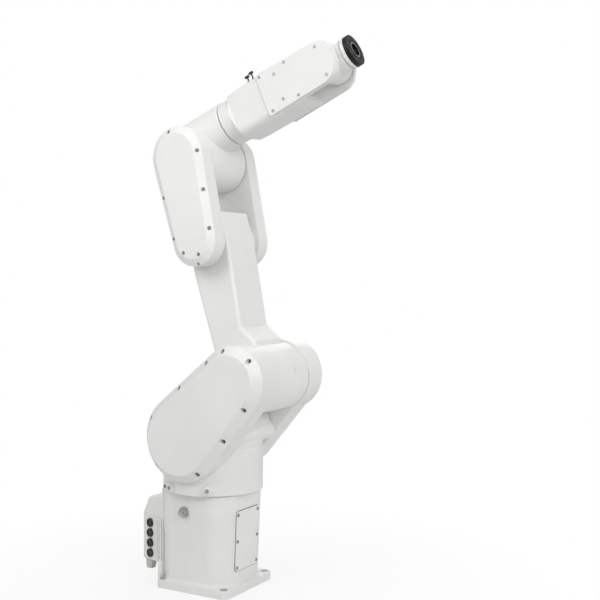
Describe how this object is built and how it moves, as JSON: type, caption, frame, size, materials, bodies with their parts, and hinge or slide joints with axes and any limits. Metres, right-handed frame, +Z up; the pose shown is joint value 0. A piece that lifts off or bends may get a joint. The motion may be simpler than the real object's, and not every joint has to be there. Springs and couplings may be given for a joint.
{
  "type": "industrial robot arm",
  "caption": "White floor-standing six-axis industrial robot arm with a square foot plate, a turning base, covered shoulder and elbow and a round tool flange.",
  "frame": {"origin": "centre of the foot plate's underside, on the turning axis", "axes": "+X to the front of the arm, +Z up along the turning axis, -Y to the side with the belt covers"},
  "size_m": [0.6205, 0.313, 1.3726],
  "materials": {
    "arm_paint": "satin white paint on castings",
    "cover_paint": "satin white paint on covers",
    "black_plastic": "matt black",
    "bare_metal": "plain machined metal",
    "socket_plastic": "matt grey-brown",
    "seal_rubber": "matt black seal",
    "flange_steel": "black oxide steel"
  },
  "bodies": {
    "base": {"base_casting": "arm_paint", "connector_housing": "arm_paint", "connector_panel": "cover_paint", "signal_connector_1": "black_plastic", "signal_connector_2": "black_plastic", "signal_connector_3": "black_plastic", "signal_connector_4": "black_plastic", "power_socket": "socket_plastic", "side_air_fitting": "bare_metal", "front_access_cover": "cover_paint", "turn_seal_ring": "seal_rubber"},
    "turret": {"turret_body": "arm_paint", "near_shoulder_cheek": "arm_paint", "far_shoulder_cheek": "arm_paint", "near_shoulder_cover": "cover_paint", "far_shoulder_cover": "cover_paint", "rear_stop_lug": "arm_paint", "front_stop_lug": "seal_rubber"},
    "lower_arm": {"lower_arm_link": "arm_paint", "near_elbow_cheek": "arm_paint", "far_elbow_cheek": "arm_paint", "near_elbow_cover": "cover_paint", "far_elbow_cover": "cover_paint"},
    "elbow": {"elbow_housing": "arm_paint", "elbow_rear_cap": "cover_paint", "roll_seal_ring": "seal_rubber"},
    "forearm": {"forearm_casting": "arm_paint", "near_wrist_cover": "cover_paint", "far_wrist_cover": "cover_paint", "hose_fitting_1": "black_plastic", "hose_fitting_2": "black_plastic"},
    "wrist": {"wrist_body": "arm_paint", "wrist_collar": "cover_paint"},
    "tool_flange": {"tool_flange": "flange_steel"}
  },
  "joints": [
    {"name": "turret_turn", "type": "hinge", "parent": "base", "child": "turret", "pos_m": [0, 0, 0.25], "axis": [0, 0, 1], "range_deg": [-180, 180]},
    {"name": "shoulder_swing", "type": "hinge", "parent": "turret", "child": "lower_arm", "pos_m": [0.15, 0, 0.544], "axis": [0, 1, 0], "range_deg": [-77.4, 172.6]},
    {"name": "elbow_swing", "type": "hinge", "parent": "lower_arm", "child": "elbow", "pos_m": [-0.02386, 0, 1.09208], "axis": [0, -1, 0], "range_deg": [-70.1, 204.9]},
    {"name": "forearm_roll", "type": "hinge", "parent": "elbow", "child": "forearm", "pos_m": [0.05708, 0, 1.18881], "axis": [0.9225, 0, 0.3859], "range_deg": [-230, 230]},
    {"name": "wrist_bend", "type": "hinge", "parent": "forearm", "child": "wrist", "pos_m": [0.34122, 0, 1.30767], "axis": [0, 1, 0], "range_deg": [-130, 130]},
    {"name": "flange_roll", "type": "hinge", "parent": "wrist", "child": "tool_flange", "pos_m": [0.41041, 0, 1.33662], "axis": [0.9225, 0, 0.3859], "range_deg": [-400, 400]}
  ]
}
